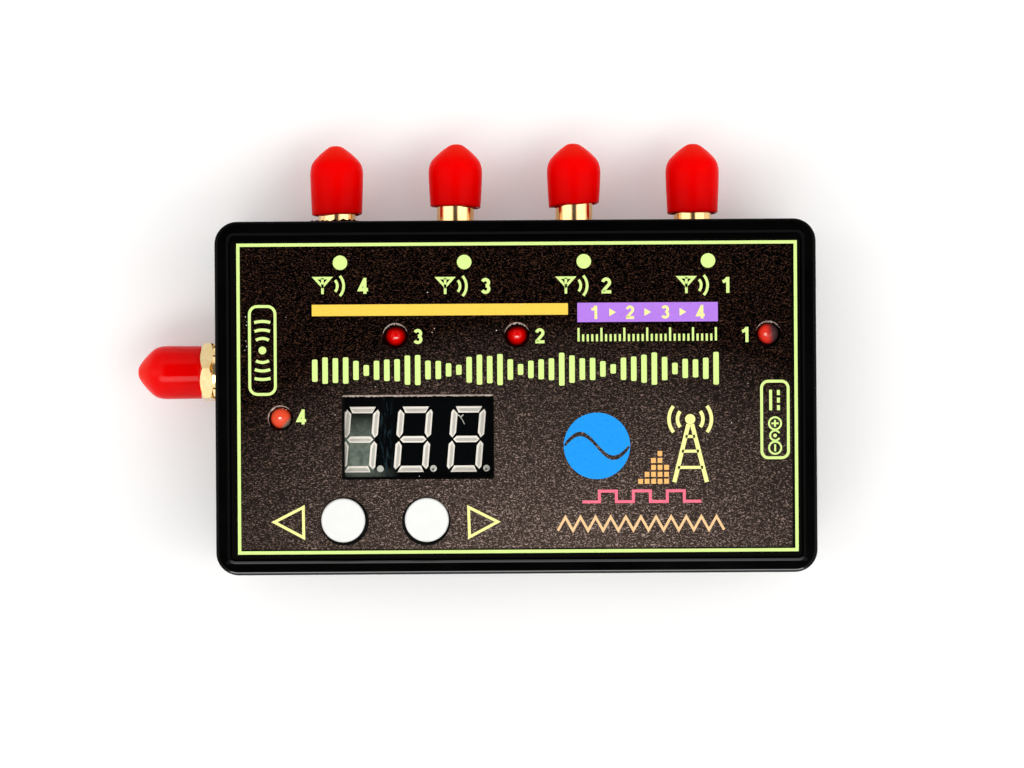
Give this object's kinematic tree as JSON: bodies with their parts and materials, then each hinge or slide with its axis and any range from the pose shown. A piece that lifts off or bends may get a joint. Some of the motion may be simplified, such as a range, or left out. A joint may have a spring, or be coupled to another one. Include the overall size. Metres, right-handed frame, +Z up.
{
  "type": "coaxial antenna switch",
  "caption": "Small black plastic box with a digital readout, push buttons and signal lamps on its panel and gold coaxial jacks under red dust caps on its sides.",
  "frame": {"origin": "centre of the case's underside", "axes": "+X along the case towards the direct current inlet, +Y towards the antenna jacks, +Z up out of the panel"},
  "size_m": [0.0977, 0.0619, 0.0212],
  "materials": {
    "case_plastic": "moulded black, smooth and glossy",
    "label": "dark brown-black print film with a fine leather grain",
    "screw_steel": "dull plated steel",
    "board": "green solder mask",
    "display_face": "glossy black face",
    "display_bar": "unlit, pale grey",
    "tinned_metal": "tinned",
    "socket_plastic": "black, slightly rough",
    "switch_steel": "bright steel",
    "lamp_lens": "clear red resin, polished",
    "button_plastic": "white, satin",
    "gold_plate": "gold plated, polished",
    "jack_insulator": "white, waxy",
    "dust_cap_vinyl": "soft red vinyl, satin",
    "chip_plastic": "moulded epoxy",
    "can_aluminium": "drawn can",
    "chip_ceramic": "fired ceramic"
  },
  "bodies": {
    "case": {"antenna_jack_1": "gold_plate", "antenna_jack_2": "gold_plate", "antenna_jack_3": "gold_plate", "antenna_jack_4": "gold_plate", "board_screws": "screw_steel", "bottom_shell": "case_plastic", "case_screws": "screw_steel", "chip_capacitors": "chip_ceramic", "chip_resistors": "chip_ceramic", "crystal": "switch_steel", "dc_inlet_body": "socket_plastic", "dc_inlet_contacts": "tinned_metal", "dc_inlet_pin": "switch_steel", "digit_transistors": "chip_plastic", "display_housing": "display_face", "display_pins": "tinned_metal", "display_segments": "display_bar", "display_sockets": "socket_plastic", "faceplate_label": "label", "jack_contacts": "gold_plate", "jack_insulators": "jack_insulator", "lamp_1": "lamp_lens", "lamp_2": "lamp_lens", "lamp_3": "lamp_lens", "lamp_4": "lamp_lens", "lamp_leads": "tinned_metal", "left_switch_cover_plate": "switch_steel", "left_switch_dome": "switch_steel", "left_switch_housing": "socket_plastic", "main_board": "board", "microcontroller": "chip_plastic", "microcontroller_leads": "tinned_metal", "output_capacitor": "can_aluminium", "protection_diode": "chip_plastic", "radio_jack": "gold_plate", "radio_jack_flat_washer": "gold_plate", "radio_jack_lock_washer": "gold_plate", "radio_jack_nut": "gold_plate", "rf_switch_chip": "chip_plastic", "right_switch_cover_plate": "switch_steel", "right_switch_dome": "switch_steel", "right_switch_housing": "socket_plastic", "supply_capacitor": "can_aluminium", "switch_terminals": "tinned_metal", "top_cover": "case_plastic", "voltage_regulator": "chip_plastic"},
    "antenna_dust_cap_1": {"antenna_dust_cap_1": "dust_cap_vinyl"},
    "antenna_dust_cap_2": {"antenna_dust_cap_2": "dust_cap_vinyl"},
    "antenna_dust_cap_3": {"antenna_dust_cap_3": "dust_cap_vinyl"},
    "antenna_dust_cap_4": {"antenna_dust_cap_4": "dust_cap_vinyl"},
    "radio_dust_cap": {"radio_dust_cap": "dust_cap_vinyl"},
    "left_button": {"left_button_cap": "button_plastic", "left_switch_plunger": "socket_plastic"},
    "right_button": {"right_button_cap": "button_plastic", "right_switch_plunger": "socket_plastic"}
  },
  "joints": [
    {"name": "antenna_dust_cap_1_pull", "type": "slide", "parent": "case", "child": "antenna_dust_cap_1", "axis": [0, 1, 0], "range_m": [0, 0.012]},
    {"name": "antenna_dust_cap_2_pull", "type": "slide", "parent": "case", "child": "antenna_dust_cap_2", "axis": [0, 1, 0], "range_m": [0, 0.012]},
    {"name": "antenna_dust_cap_3_pull", "type": "slide", "parent": "case", "child": "antenna_dust_cap_3", "axis": [0, 1, 0], "range_m": [0, 0.012]},
    {"name": "antenna_dust_cap_4_pull", "type": "slide", "parent": "case", "child": "antenna_dust_cap_4", "axis": [0, 1, 0], "range_m": [0, 0.012]},
    {"name": "radio_dust_cap_pull", "type": "slide", "parent": "case", "child": "radio_dust_cap", "axis": [-1, 0, 0], "range_m": [0, 0.012]},
    {"name": "left_button_press", "type": "slide", "parent": "case", "child": "left_button", "axis": [0, 0, -1], "range_m": [0, 0.00025], "stiffness_N_per_m": 4000, "deforming": ["left_switch_dome"]},
    {"name": "right_button_press", "type": "slide", "parent": "case", "child": "right_button", "axis": [0, 0, -1], "range_m": [0, 0.00025], "stiffness_N_per_m": 4000, "deforming": ["right_switch_dome"]}
  ]
}
